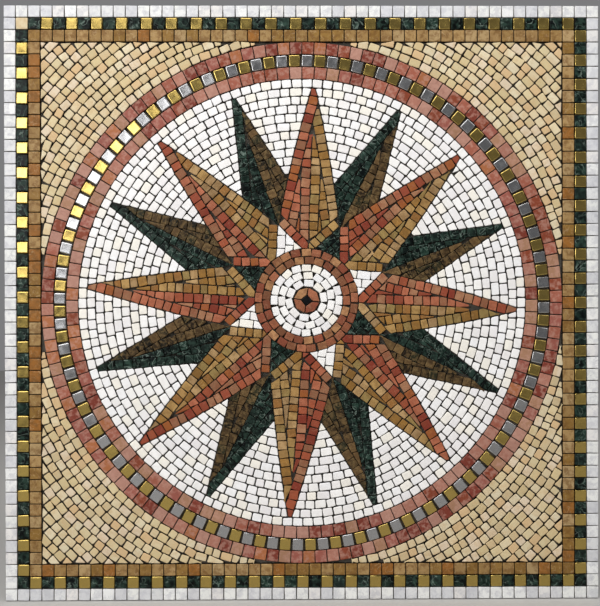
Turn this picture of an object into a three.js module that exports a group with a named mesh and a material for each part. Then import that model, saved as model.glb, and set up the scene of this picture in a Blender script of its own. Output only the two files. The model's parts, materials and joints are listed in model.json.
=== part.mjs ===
// A square marble and metal mosaic panel: a sixteen-ray compass star in a ring, in a square border.
// Units are millimetres. The panel stands upright: X to the right, Z up, and its face looks along -Y.
// The origin is the centre of the flat back. The face is drawn flat, x right and y up, with z
// towards the viewer, and one group turns it upright at the end.

import * as THREE from 'three';

// ---- driving dimensions -------------------------------------------------------------------------

const CHIP_PITCH = 16;          // a border chip and its joint
const CHIPS_PER_SIDE = 49;      // chips along one edge of the panel
const JOINT = 1;                // open joint between chips and between fields
const BED_THICKNESS = 2;        // adhesive bed with its glass-fibre net
const CHIP_THICKNESS = 8;       // every chip, stone or metal
const BED_MARGIN = 3;           // how far the bed stays back from the panel's edge

const RING_RADII = [344, 327.5, 311.3, 295.1];   // joint circles of the rose, metal and rose courses
const COURSE = 11.3;                             // one course of the white field
const RING_SIDES = 96;
const CORNER_START = 9.5;       // the corner fields start this far round from where ring and border meet

const HUB_CENTRE = new THREE.Vector2(5.5, 3.4);  // the hub sits a little high and right
const HUB_RADII = [68.5, 47.7, 17.8];            // joint circles: rose ring, white disc, rose centre
const HUB_SIDES = 48;
const CENTRE_DIAMOND = 7.5;                      // centre of the black chip to its corner

const RAYS = 8;                                  // light rays, with as many dark ones between them
const TIP_RADIUS = RING_RADII[3] - COURSE;       // the tips touch the white field's outer course
const TIP_WIDTH = 5;
const TIP_CHIPS = 22;                            // length at the tip that one stone fills alone
const RIDGE_START = 45;                          // below the tip, where the two halves share the middle
const NOTCH_RADIUS = 107;                        // where neighbouring light rays meet, from the hub
const APEX_RADIUS = 60;                          // where a light ray would close, under the hub ring
const FLANK_BOW = 2;                             // how far a light ray's edge swells
const FLANK_STEPS = 4;
const DARK_SLOPE = 0.235;                        // a dark ray's half width for each mm from its tip

// Each ray's own turn clockwise from its even place, in degrees, as it was set by hand.
const LIGHT_TURN = [3.1, 2, 1.9, 2.1, 3.5, 4.1, 4.4, 3.4];
const DARK_TURN = [4.4, 1.5, 1.9, 2.7, 3.7, 4.7, 4.9, 4];

const FINISH = {
  bed: { color: 0xa9a59a, roughness: 0.95, metalness: 0 },
  white: { color: 0xf0eeea, roughness: 0.5, metalness: 0 },
  green: { color: 0x16302c, roughness: 0.4, metalness: 0 },
  tan: { color: 0xb28a58, roughness: 0.5, metalness: 0 },
  cream: { color: 0xe0cda2, roughness: 0.55, metalness: 0 },
  rose: { color: 0xa4695a, roughness: 0.5, metalness: 0 },
  gold: { color: 0xa97f3e, roughness: 0.5, metalness: 0 },
  terracotta: { color: 0xa35a3c, roughness: 0.5, metalness: 0 },
  brown: { color: 0x4d3c28, roughness: 0.45, metalness: 0 },
  black: { color: 0x1a1a1c, roughness: 0.4, metalness: 0 },
  metal: { color: 0xa89a5c, roughness: 0.3, metalness: 1 },
};

// ---- outlines -----------------------------------------------------------------------------------

const PANEL_HALF = (CHIPS_PER_SIDE * CHIP_PITCH) / 2;
const HUB_RIM = HUB_RADII[0];
const ORIGIN = new THREE.Vector2(0, 0);

/** Unit vector at a clockwise angle from straight up, in degrees. */
function heading(degrees) {
  const angle = THREE.MathUtils.degToRad(degrees);
  return new THREE.Vector2(Math.sin(angle), Math.cos(angle));
}

/** The clockwise angle from straight up of a vector, in degrees. */
function angleOf(vector) {
  return THREE.MathUtils.radToDeg(Math.atan2(vector.x, vector.y));
}

/** The point at a distance along a direction and to its right. */
function from(start, direction, along, right = 0) {
  const across = new THREE.Vector2(direction.y, -direction.x);
  return start.clone().addScaledVector(direction, along).addScaledVector(across, right);
}

/** A full circle of points. */
function circle(radius, sides, centre = ORIGIN) {
  const step = 360 / sides;
  return Array.from({ length: sides }, (_, i) => from(centre, heading(-i * step), radius));
}

/** Points inside an arc, its two ends left out. The angle runs the short way round. */
function arcBetween(start, end, centre, sides) {
  const radius = start.distanceTo(centre);
  const first = angleOf(start.clone().sub(centre));
  const sweep = THREE.MathUtils.euclideanModulo(angleOf(end.clone().sub(centre)) - first + 180, 360) - 180;
  const steps = Math.max(1, Math.round((Math.abs(sweep) * sides) / 360));
  return Array.from({ length: steps - 1 }, (_, i) =>
    from(centre, heading(first + (sweep * (i + 1)) / steps), radius));
}

function square(half) {
  return [[-half, -half], [half, -half], [half, half], [-half, half]].map(([x, y]) =>
    new THREE.Vector2(x, y));
}

/** The same outline drawn inwards by a distance, or outwards by a negative one. */
function inset(outline, distance) {
  const points = THREE.ShapeUtils.isClockWise(outline) ? [...outline].reverse() : outline;
  return points.map((point, i) => {
    const before = points.at(i - 1);
    const after = points[(i + 1) % points.length];
    const inA = from(ORIGIN, point.clone().sub(before).normalize(), 0, -1);
    const inB = from(ORIGIN, after.clone().sub(point).normalize(), 0, -1);
    return point.clone().addScaledVector(inA.clone().add(inB), distance / (1 + inA.dot(inB)));
  });
}

/** Where one run of points crosses another, and how many points of the first come before that. */
function crossing(runA, runB) {
  for (let i = 0; i + 1 < runA.length; i += 1) {
    for (let j = 0; j + 1 < runB.length; j += 1) {
      const a = runA[i + 1].clone().sub(runA[i]);
      const b = runB[j + 1].clone().sub(runB[j]);
      const gap = runB[j].clone().sub(runA[i]);
      const s = gap.cross(b) / a.cross(b);
      const t = gap.cross(a) / a.cross(b);
      if (s >= 0 && s <= 1 && t >= 0 && t <= 1) {
        return { point: from(runA[i], a, s), before: i + 1 };
      }
    }
  }
  throw new Error('the two runs do not cross');
}

/** A run of points cut in two where another run crosses it. */
function cutRun(run, other) {
  const { point, before } = crossing(run, other);
  return { near: [...run.slice(0, before), point], far: [point, ...run.slice(before)] };
}

/** Where a straight run from outside the hub meets the hub's rim. */
function hubMeeting(start, end) {
  const direction = end.clone().sub(start).normalize();
  const toStart = start.clone().sub(HUB_CENTRE);
  const b = toStart.dot(direction);
  const c = toStart.lengthSq() - HUB_RIM ** 2;
  return from(start, direction, -b - Math.sqrt(b * b - c));
}

// ---- the star's geometry ------------------------------------------------------------------------

const RAY_STEP = 360 / RAYS;
const lightTips = LIGHT_TURN.map((turn, k) => from(ORIGIN, heading(k * RAY_STEP + turn), TIP_RADIUS));
const darkTips = DARK_TURN.map((turn, k) =>
  from(ORIGIN, heading((k + 0.5) * RAY_STEP + turn), TIP_RADIUS));
const lightAxes = lightTips.map((tip) => tip.clone().sub(HUB_CENTRE).normalize());

/** The notch clockwise of light ray k, on the line that halves the angle between two rays. */
const notches = lightAxes.map((axis, k) => {
  const middle = axis.clone().add(lightAxes[(k + 1) % RAYS]).normalize();
  return from(HUB_CENTRE, middle, NOTCH_RADIUS);
});

/** A light ray's edge from tip to notch. side is -1 for its left, seen from the hub, and 1 for its right. */
function lightFlank(k, side) {
  const start = from(lightTips[k], lightAxes[k], 0, (side * TIP_WIDTH) / 2);
  const end = side > 0 ? notches[k] : notches.at(k - 1);
  const direction = end.clone().sub(start).normalize();
  const length = start.distanceTo(end);
  return Array.from({ length: FLANK_STEPS + 1 }, (_, i) => {
    const t = i / FLANK_STEPS;
    return from(start, direction, length * t, -side * FLANK_BOW * 4 * t * (1 - t));
  });
}

/** A dark ray's straight edge, run on past the light ray that hides its foot. */
function darkFlank(k, side) {
  const axis = darkTips[k].clone().sub(notches[k]).normalize();
  const length = darkTips[k].distanceTo(notches[k]);
  const start = from(darkTips[k], axis, 0, (side * TIP_WIDTH) / 2);
  return [start, from(start, axis, -length, side * DARK_SLOPE * length)];
}

const rays = lightTips.map((tip, k) => {
  const next = (k + 1) % RAYS;
  const darkLeft = darkFlank(k, -1);
  const darkRight = darkFlank(k, 1);
  return {
    tip,
    axis: lightAxes[k],
    left: lightFlank(k, -1),
    right: lightFlank(k, 1),
    darkLeft: cutRun(darkLeft, lightFlank(k, 1)).near,
    darkRight: cutRun(darkRight, lightFlank(next, -1)).near,
    leftShared: cutRun(lightFlank(k, -1), darkFlank((k + RAYS - 1) % RAYS, 1)),
    rightShared: cutRun(lightFlank(k, 1), darkLeft),
    apex: from(HUB_CENTRE, lightAxes[k], APEX_RADIUS),
  };
});

/** The outline of the whole sixteen-ray star, clockwise. The white field lies around it. */
function starOutline() {
  return rays.flatMap((ray, k) => {
    const next = rays[(k + 1) % RAYS];
    const outToDarkTip = [...ray.darkLeft].reverse().slice(1);
    const outToNextTip = [...next.leftShared.near].reverse().slice(1);
    return [...ray.rightShared.near, ...outToDarkTip, ...ray.darkRight, ...outToNextTip];
  });
}

/** The middle line that parts a ray's two stones, from its right edge down to its foot. */
function ridge(tip, foot, rightFlank) {
  const axis = tip.clone().sub(foot).normalize();
  const down = rightFlank[1].clone().sub(rightFlank[0]).normalize();
  return [from(rightFlank[0], down, TIP_CHIPS), from(tip, axis, -RIDGE_START), foot];
}

/** The left and right stones of light ray k. */
function lightHalves(k) {
  const { tip, axis, left, right, apex } = rays[k];
  const foot = from(HUB_CENTRE, axis, HUB_RIM);
  const line = ridge(tip, foot, right);
  const leftFoot = hubMeeting(notches.at(k - 1), apex);
  const rightFoot = hubMeeting(notches[k], apex);
  return {
    left: [...left, leftFoot, ...arcBetween(leftFoot, foot, HUB_CENTRE, HUB_SIDES),
      ...[...line].reverse(), right[0]],
    right: [line[0], ...right.slice(1), rightFoot, ...arcBetween(rightFoot, foot, HUB_CENTRE, HUB_SIDES),
      foot, line[1]],
  };
}

/** The left and right stones of dark ray k, which show only outside the light rays. */
function darkHalves(k) {
  const next = rays[(k + 1) % RAYS];
  const { darkLeft, darkRight, rightShared } = rays[k];
  const line = ridge(darkTips[k], notches[k], darkRight);
  return {
    left: [...darkLeft, ...rightShared.far.slice(1), ...[...line].reverse().slice(1), darkRight[0]],
    right: [line[0], darkRight[1], ...next.leftShared.far.slice(1), line[1]],
  };
}

/** The small triangle between two light rays and the hub. */
function hubTriangle(k) {
  const start = hubMeeting(notches[k], rays[k].apex);
  const end = hubMeeting(notches[k], rays[(k + 1) % RAYS].apex);
  return [notches[k], start, ...arcBetween(start, end, HUB_CENTRE, HUB_SIDES), end];
}

/** The corner field between the square border and the ring. turn counts quarter turns clockwise. */
function cornerField(turn) {
  const half = RING_RADII[0];
  const start = from(ORIGIN, heading(CORNER_START), half);
  const end = from(ORIGIN, heading(90 - CORNER_START), half);
  const outline = [
    start, ...arcBetween(start, end, ORIGIN, RING_SIDES), end,
    new THREE.Vector2(half, end.y), new THREE.Vector2(half, half), new THREE.Vector2(start.x, half),
  ];
  return outline.map((point) => point.rotateAround(ORIGIN, (-turn * Math.PI) / 2));
}

// ---- pieces -------------------------------------------------------------------------------------

const face = new THREE.Group();

/** A flat plate of even thickness, with square edges. */
function plate(name, outline, hole, finish, bottom, thickness) {
  const shape = new THREE.Shape(outline);
  if (hole) shape.holes.push(new THREE.Path(hole));
  const geometry = new THREE.ExtrudeGeometry(shape, { depth: thickness, bevelEnabled: false });
  const mesh = new THREE.Mesh(geometry, new THREE.MeshStandardMaterial(FINISH[finish]));
  mesh.name = name;
  mesh.position.z = bottom;
  face.add(mesh);
}

/** A field of chips: its outline and its hole follow the joints' middles, and stay half a joint back. */
function field(name, finish, outline, hole) {
  const edge = inset(outline, JOINT / 2);
  const opening = hole && inset(hole, -JOINT / 2);
  plate(name, edge, opening, finish, BED_THICKNESS, CHIP_THICKNESS);
}

plate('adhesive_bed', square(PANEL_HALF - BED_MARGIN), null, 'bed', 0, BED_THICKNESS);

const borders = [['white_marble_border', 'white'], ['green_and_brass_border', 'green'],
  ['tan_marble_border', 'tan']];
borders.forEach(([name, finish], band) => {
  const half = PANEL_HALF - band * CHIP_PITCH;
  field(name, finish, square(half), square(half - CHIP_PITCH));
});

['top_right', 'bottom_right', 'bottom_left', 'top_left'].forEach((place, turn) => {
  field(`cream_corner_${place}`, 'cream', cornerField(turn));
});

const rings = [['outer_rose_ring', 'rose'], ['brass_and_steel_ring', 'metal'], ['inner_rose_ring', 'rose']];
rings.forEach(([name, finish], i) => {
  field(name, finish, circle(RING_RADII[i], RING_SIDES), circle(RING_RADII[i + 1], RING_SIDES));
});

field('white_field', 'white', circle(RING_RADII[3], RING_SIDES), starOutline());

for (let k = 0; k < RAYS; k += 1) {
  const light = lightHalves(k);
  const dark = darkHalves(k);
  field(`light_ray_${k + 1}_terracotta`, 'terracotta', light.left);
  field(`light_ray_${k + 1}_gold`, 'gold', light.right);
  field(`dark_ray_${k + 1}_green`, 'green', dark.left);
  field(`dark_ray_${k + 1}_brown`, 'brown', dark.right);
  const stone = k % 2 ? 'white' : 'green';
  field(`hub_triangle_${k + 1}_${stone}`, stone, hubTriangle(k));
}

const [hubRim, discRim, centreRim] = HUB_RADII.map((radius) => circle(radius, HUB_SIDES, HUB_CENTRE));
const diamond = circle(CENTRE_DIAMOND, 4, HUB_CENTRE);
field('hub_rose_ring', 'rose', hubRim, discRim);
field('hub_white_disc', 'white', discRim, centreRim);
field('hub_rose_centre', 'rose', centreRim, diamond);
field('hub_black_diamond', 'black', diamond);

face.rotation.x = Math.PI / 2;
const panel = new THREE.Group();
panel.add(face);

export default panel;
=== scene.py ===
# %% [markdown]
# # A compass-star mosaic panel
#
# The real object is a square sheet of about three and a half thousand small chips, each cut or split from
# a bar of marble or pressed in metal, and glued by hand to a glass-fibre net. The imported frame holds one
# plain plate for each field of one stone. Here every plate gives way to the chips that it stands for.
# Loading the frame comes first, because each piece takes its place and its size from it.

# %% Load the frame
import json
import math
import random

import bmesh
import bpy
from mathutils import Matrix, Vector

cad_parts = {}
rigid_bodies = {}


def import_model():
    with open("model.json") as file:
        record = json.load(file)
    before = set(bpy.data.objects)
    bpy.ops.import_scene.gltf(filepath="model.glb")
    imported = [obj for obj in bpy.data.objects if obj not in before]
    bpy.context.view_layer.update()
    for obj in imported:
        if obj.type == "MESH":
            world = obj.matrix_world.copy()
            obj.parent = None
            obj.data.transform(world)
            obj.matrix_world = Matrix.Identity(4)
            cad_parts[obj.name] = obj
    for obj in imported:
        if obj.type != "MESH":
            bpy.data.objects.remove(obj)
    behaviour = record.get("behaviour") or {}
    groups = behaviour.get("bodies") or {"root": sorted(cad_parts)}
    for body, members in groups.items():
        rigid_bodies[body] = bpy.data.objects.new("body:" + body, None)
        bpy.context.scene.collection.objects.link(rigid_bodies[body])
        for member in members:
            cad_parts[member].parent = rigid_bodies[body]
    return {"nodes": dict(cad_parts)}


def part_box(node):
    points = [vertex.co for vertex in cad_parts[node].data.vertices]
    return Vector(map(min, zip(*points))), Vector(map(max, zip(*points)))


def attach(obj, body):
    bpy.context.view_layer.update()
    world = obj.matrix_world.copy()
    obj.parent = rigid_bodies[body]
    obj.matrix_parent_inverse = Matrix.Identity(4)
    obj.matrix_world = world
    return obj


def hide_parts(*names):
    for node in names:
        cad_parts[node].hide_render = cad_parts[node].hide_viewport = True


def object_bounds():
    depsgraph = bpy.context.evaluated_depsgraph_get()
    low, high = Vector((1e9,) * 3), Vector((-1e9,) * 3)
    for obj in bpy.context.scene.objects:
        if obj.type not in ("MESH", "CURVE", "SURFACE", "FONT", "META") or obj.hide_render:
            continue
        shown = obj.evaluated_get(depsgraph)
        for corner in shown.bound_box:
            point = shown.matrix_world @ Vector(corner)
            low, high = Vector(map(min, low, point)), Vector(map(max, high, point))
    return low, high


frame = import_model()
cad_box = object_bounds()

print(len(frame["nodes"]), "nodes, from", cad_box[0], "to", cad_box[1])

# %% [markdown]
# ## Sizes
#
# A mosaic is set out with compasses and a straight edge, so a few circles and squares give every place.
# The frame's plates stop half a joint short of the lines that were drawn on the net, so half a joint is
# added back. Lengths are kept in millimetres, as a mosaic maker says them, and MM turns them to metres.

# %% Circles and squares from the frame
MM = 0.001
JOINT = 1.0


def reach(node):
    """How far a field's outer line lies from the panel's centre, straight up, in millimetres."""
    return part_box(node)[1].z / MM + JOINT / 2


def own_radius(node):
    """Half the height of a field, with its half joint."""
    low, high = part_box(node)
    return (high.z - low.z) / 2 / MM + JOINT / 2


BORDER_OUT = reach("white_marble_border")
BORDER_BAND = BORDER_OUT - reach("green_and_brass_border")
FIELD_HALF = reach("tan_marble_border") - BORDER_BAND
OUTER_ROSE, METAL, INNER_ROSE, WHITE = (
    reach(node) for node in ("outer_rose_ring", "brass_and_steel_ring", "inner_rose_ring", "white_field"))
HUB_OUT, HUB_WHITE, HUB_CORE = (
    own_radius(node) for node in ("hub_rose_ring", "hub_white_disc", "hub_rose_centre"))
hub_low, hub_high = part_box("hub_rose_ring")
HUB = Vector((hub_low.x + hub_high.x, hub_low.z + hub_high.z)) / 2 / MM
CHIP_TOP = -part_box("white_field")[0].y / MM
BED_TOP = -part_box("white_field")[1].y / MM
CENTRE = Vector((0, 0))
print("rings", [round(radius, 1) for radius in (OUTER_ROSE, METAL, INNER_ROSE, WHITE)])
print("hub", HUB[:], round(HUB_OUT, 1))

# %% [markdown]
# ## Setting out the star
#
# Sixteen rays lean on the hub: eight light ones in front, and eight dark ones that show between them. The
# maker drew each ray by hand, so none points exactly where a compass would put it, and each keeps a turn of
# its own. A ray is set out from three points: its tip, and the notch on either side where it meets the next.
# Angles run clockwise from straight up, as on a compass card.

# %% Plane geometry
def heading(degrees):
    """Unit vector at a clockwise angle from straight up."""
    return Vector((math.sin(math.radians(degrees)), math.cos(math.radians(degrees))))


def bearing(vector):
    """The clockwise angle of a vector from straight up."""
    return math.degrees(math.atan2(vector.x, vector.y))


def right_of(direction):
    """A direction turned a quarter clockwise."""
    return Vector((direction.y, -direction.x))


def blend_points(a, b, share):
    """The point a share of the way from a to b."""
    return a + (b - a) * share


def where_crossed(run, radius):
    """Where a run of points that comes inwards crosses a circle round the panel's centre."""
    for a, b in zip(run, run[1:]):
        if a.length >= radius >= b.length:
            return blend_points(a, b, (a.length - radius) / (a.length - b.length))
    return run[0] if radius > run[0].length else run[-1]


# %% Tips and notches
# Lengths are in millimetres, and turns in degrees from where a compass would put each tip.
RAYS = 8
COURSE = 11.3
TIP_RADIUS = WHITE - COURSE
TIP_WIDTH = 5
NOTCH_RADIUS = 107
LIGHT_TURN = [3.1, 2, 1.9, 2.1, 3.5, 4.1, 4.4, 3.4]
DARK_TURN = [4.4, 1.5, 1.9, 2.7, 3.7, 4.7, 4.9, 4]

STEP = 360 / RAYS
light_tips = [heading(k * STEP + turn) * TIP_RADIUS for k, turn in enumerate(LIGHT_TURN)]
dark_tips = [heading((k + 0.5) * STEP + turn) * TIP_RADIUS for k, turn in enumerate(DARK_TURN)]
light_axes = [(tip - HUB).normalized() for tip in light_tips]
notch_axes = [(axis + light_axes[(k + 1) % RAYS]).normalized() for k, axis in enumerate(light_axes)]
notches = [HUB + axis * NOTCH_RADIUS for axis in notch_axes]
dark_axes = [(tip - notch).normalized() for tip, notch in zip(dark_tips, notches)]
print("first light tip at", light_tips[0][:], "first notch at", notches[0][:])

# %% Edges
# An edge is a run of points that comes inwards. Sides are named as they are seen from the hub.
LEFT, RIGHT = -1, 1
FLANK_BOW = 2
DARK_SLOPE = 0.235
EDGE_STEPS = 24


def light_edge(k, side):
    """A light ray's edge on one side, from its tip in to the notch, slightly bowed."""
    start = light_tips[k] + right_of(light_axes[k]) * side * TIP_WIDTH / 2
    end = notches[k] if side == RIGHT else notches[k - 1]
    out = right_of((end - start).normalized()) * -side
    shares = [i / EDGE_STEPS for i in range(EDGE_STEPS + 1)]
    return [blend_points(start, end, t) + out * FLANK_BOW * 4 * t * (1 - t) for t in shares]


def dark_edge(k, side):
    """A dark ray's straight edge, run on under the light ray that hides its foot."""
    axis = dark_axes[k]
    length = (dark_tips[k] - notches[k]).length
    start = dark_tips[k] + right_of(axis) * side * TIP_WIDTH / 2
    end = start - axis * length + right_of(axis) * side * DARK_SLOPE * length
    return [blend_points(start, end, i / EDGE_STEPS) for i in range(EDGE_STEPS + 1)]


def crossing(run_a, run_b):
    """Where two runs of points cross."""
    for a, b in zip(run_a, run_a[1:]):
        for c, d in zip(run_b, run_b[1:]):
            turn = (b - a).cross(d - c)
            s = (c - a).cross(d - c) / turn
            t = (c - a).cross(b - a) / turn
            if 0 <= s <= 1 and 0 <= t <= 1:
                return blend_points(a, b, s)
    raise ValueError("the two runs do not cross")


def hub_meeting(start, end):
    """Where a straight line from outside the hub meets the hub's rim."""
    direction = (end - start).normalized()
    along = (start - HUB).dot(direction)
    return start + direction * (-along - math.sqrt(along ** 2 - (start - HUB).length_squared + HUB_OUT ** 2))


print("first light ray's right edge ends at", light_edge(0, RIGHT)[-1][:])

# %% [markdown]
# ## Laying chips in a row
#
# A maker works in rows: along a line or round a circle, each chip is set against the last, a little longer
# or shorter as it was split. The same can be done in edit mode. A row starts from a single joint, which is
# one point extruded to an edge. Each chip is then one more extrusion of that edge along the line, or one
# more step of a spin round a centre. All rows lie flat, face up, and are stood upright at the end. A laid
# row is cut where it meets a line, then hidden, so that select all only finds the row being laid.

# %% Start a field and a row
def on_face(point, height=CHIP_TOP):
    """A point of the flat face, in metres."""
    return Vector((point.x, point.y, height)) * MM


def open_field(name):
    """A new empty mesh, opened in edit mode."""
    field = bpy.data.objects.new(name, bpy.data.meshes.new(name))
    bpy.context.collection.objects.link(field)
    bpy.ops.object.select_all(action="DESELECT")
    bpy.context.view_layer.objects.active = field
    field.select_set(True)
    bpy.ops.object.mode_set(mode="EDIT")
    bpy.ops.mesh.select_mode(type="VERT")
    return field


def first_joint(a, b):
    """The joint that a row starts from: a point, extruded across the row."""
    bpy.ops.mesh.primitive_plane_add(size=MM, location=on_face(a))
    bpy.ops.mesh.merge(type="CENTER")
    bpy.ops.mesh.extrude_vertices_move(TRANSFORM_OT_translate={"value": on_face(b) - on_face(a)})
    bpy.ops.mesh.select_linked()


def put_aside():
    """Hides what has been laid so far."""
    bpy.ops.mesh.select_all(action="SELECT")
    bpy.ops.mesh.hide(unselected=False)


# %% Lay straight rows, curved rows and whole rings
def chip_shares(count, spread, draw):
    """Uneven shares of a row, one for each chip, that add up to one."""
    sizes = [1 + draw.uniform(-spread, spread) for _ in range(count)]
    return [size / sum(sizes) for size in sizes]


def lay_straight(start, direction, across, length, count, spread, draw):
    """A straight row of chips from start. across is the vector from one side of the row to the other."""
    first_joint(start, start + across)
    for share in chip_shares(count, spread, draw):
        bpy.ops.mesh.extrude_edges_move(
            TRANSFORM_OT_translate={"value": on_face(direction * length * share, 0)})


def lay_curved(outer, inner, first, last, count, spread, draw):
    """A row round the panel's centre, clockwise between two angles."""
    first_joint(heading(first) * outer, heading(first) * inner)
    for share in chip_shares(count, spread, draw):
        angle = math.radians((last - first) * share)
        bpy.ops.mesh.spin(steps=1, angle=angle, center=(0, 0, 0), axis=(0, 0, 1))


def lay_ring(centre, outer, inner, count, first=0.0):
    """A whole ring of even chips: a circle, extruded and drawn in. first is the first joint's angle."""
    bpy.ops.mesh.primitive_circle_add(
        vertices=count, radius=outer * MM, location=on_face(centre), rotation=(0, 0, math.radians(-first)))
    bpy.ops.mesh.extrude_edges_move()
    bpy.ops.transform.resize(value=(inner / outer, inner / outer, 1), center_override=on_face(centre))


def cut_along(a, b, keep):
    """Cuts the row that is being laid along a line, and keeps the side where the point keep is."""
    normal = right_of((b - a).normalized())
    if normal.dot(keep - a) > 0:
        normal = -normal
    bpy.ops.mesh.select_all(action="SELECT")
    bpy.ops.mesh.bisect(plane_co=on_face(a), plane_no=(normal.x, normal.y, 0), clear_outer=True)


# %% [markdown]
# ## From flat outlines to chips
#
# A laid field is a sheet of touching outlines. Real chips stand apart, with a dark open joint between them;
# their corners are knocked round, and no two lie quite level. So a sliver is first joined to the next chip,
# as no maker would set it, and the sheet is split at every edge. Points that stone is too brittle to hold
# are snapped off, and each face is inset by half a joint and its rim deleted. Then each outline is turned a
# little, a small random move of every corner gives the hand-split look, and Make Planar turns the random
# heights into a slight tilt. Each face also gets three random numbers in a colour attribute, which its walls
# inherit, so that a material can give each chip a stone of its own.
#
# Bevels of single points blunt the tips and round the corners, and an extrusion down to the bed gives the
# thickness. An edge bevel could wear the arris, but round so many odd outlines its width comes out uneven.
# So the top is lowered and inset back up to its height, inset once more and poked into a slight dome.

# %% Pick faces, edges and points in code
HAIR = 0.01


def choose(kind, test):
    """Selects just the visible faces, edges or points that pass a test."""
    bpy.ops.mesh.select_mode(type=kind)
    bpy.ops.mesh.select_all(action="DESELECT")
    shape = bmesh.from_edit_mesh(bpy.context.edit_object.data)
    for item in {"FACE": shape.faces, "EDGE": shape.edges, "VERT": shape.verts}[kind]:
        if not item.hide and test(item):
            item.select_set(True)
    shape.select_flush_mode()
    bmesh.update_edit_mesh(bpy.context.edit_object.data)


def give_each_face_numbers(draw):
    """Three random numbers for each face, kept as a colour attribute named chip."""
    mesh = bpy.context.edit_object.data
    shape = bmesh.from_edit_mesh(mesh)
    layer = shape.faces.layers.float_color.get("chip") or shape.faces.layers.float_color.new("chip")
    for face in shape.faces:
        face[layer] = (draw.random(), draw.random(), draw.random(), 1)
    bmesh.update_edit_mesh(mesh)


def stone_width(face):
    """How wide a face is where it is narrowest: twice the radius of the largest circle that fits in it."""
    across = [4 * face.calc_area() / face.calc_perimeter()]
    for corner in face.loops:
        side = corner.link_loop_next.vert.co - corner.vert.co
        inwards = face.normal.cross(side).normalized()
        across.append(max(inwards.dot(point.co - corner.vert.co) for point in face.verts))
    return min(across)


def joins_a_sliver(edge, least):
    """Whether an edge parts a sliver from the next chip of its row, and is the sliver's longest such edge."""
    if len(edge.link_faces) < 2:
        return False
    sliver = min(edge.link_faces, key=stone_width)
    shared = [side.calc_length() for side in sliver.edges if len(side.link_faces) == 2]
    return stone_width(sliver) < least and edge.calc_length() > max(shared) - HAIR * MM


# %% Part the sheet
# Outlines narrower than SLIVER join the next chip, and corners sharper than NEEDLE_ANGLE are snapped off.
SLIVER = 5
SPLINTER = 0.6
NEEDLE_ANGLE = 12


def is_sharper(point, angle):
    """Whether two sides of an outline meet here at less than an angle in degrees."""
    return math.pi - point.calc_edge_angle(0) < math.radians(angle)


def break_needles():
    """Snaps off the points that stone is too brittle to hold."""
    bpy.ops.mesh.dissolve_degenerate(threshold=SPLINTER * MM)
    choose("VERT", lambda point: is_sharper(point, NEEDLE_ANGLE))
    bpy.ops.mesh.dissolve_verts()
    bpy.ops.mesh.select_all(action="SELECT")
    bpy.ops.mesh.delete_loose()


def part_the_sheet(joint, least):
    """Joins slivers to the next chip, opens the joints and drops what is thinner than least."""
    bpy.ops.mesh.reveal()
    choose("EDGE", lambda edge: joins_a_sliver(edge, (SLIVER + joint) * MM))
    bpy.ops.mesh.dissolve_edges(use_verts=False)
    bpy.ops.mesh.select_mode(type="FACE")
    bpy.ops.mesh.select_all(action="SELECT")
    bpy.ops.mesh.edge_split(type="EDGE")
    break_needles()
    choose("FACE", lambda face: stone_width(face) < (least + joint) * MM)
    bpy.ops.mesh.delete(type="FACE")
    bpy.ops.mesh.select_all(action="SELECT")
    bpy.ops.mesh.inset(thickness=joint / 2 * MM, depth=0, use_individual=True)
    bpy.ops.mesh.select_all(action="INVERT")
    bpy.ops.mesh.delete(type="FACE")


# %% Set each chip by hand
# Splitting and spinning leave faces in an order that can differ between runs. Sorted by their distance from
# one odd point, they are always in the same order, and each gets the same random numbers.
ORDER_POINT = (1.37, 2.11, 0.53)


def put_in_order():
    """Sorts corners and faces by their distance from the odd point."""
    bpy.context.scene.cursor.location = ORDER_POINT
    bpy.ops.mesh.select_all(action="SELECT")
    bpy.ops.mesh.sort_elements(type="CURSOR_DISTANCE", elements={"VERT", "FACE"})


def turn_each_chip(turn, draw):
    """Turns every outline a little about its own middle. turn is the usual angle in degrees."""
    mesh = bpy.context.edit_object.data
    for face in bmesh.from_edit_mesh(mesh).faces:
        middle = face.calc_center_median()
        twist = Matrix.Rotation(math.radians(draw.gauss(0, turn)), 3, "Z")
        for point in face.verts:
            point.co = middle + twist @ (point.co - middle)
    bmesh.update_edit_mesh(mesh)


def set_by_hand(wobble, tilt, seed):
    """Moves every corner a little, and tilts every face a little."""
    bpy.ops.mesh.select_all(action="SELECT")
    bpy.ops.transform.vertex_random(offset=wobble * MM, seed=seed)
    bpy.ops.transform.resize(value=(1, 1, tilt / wobble), center_override=(0, 0, CHIP_TOP * MM))
    bpy.ops.mesh.face_make_planar(repeat=4)


# %% Thickness and worn edges
# Corners sharper than TIP_ANGLE are blunted, by TIP_CUT per cent of their sides.
MIDDLE_HEIGHT = (CHIP_TOP + BED_TOP) / 2
TIP_ANGLE = 28
TIP_CUT = 45
WORN = 1.5
UPWARDS = 0.9
SMOOTH_BELOW = 50


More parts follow.
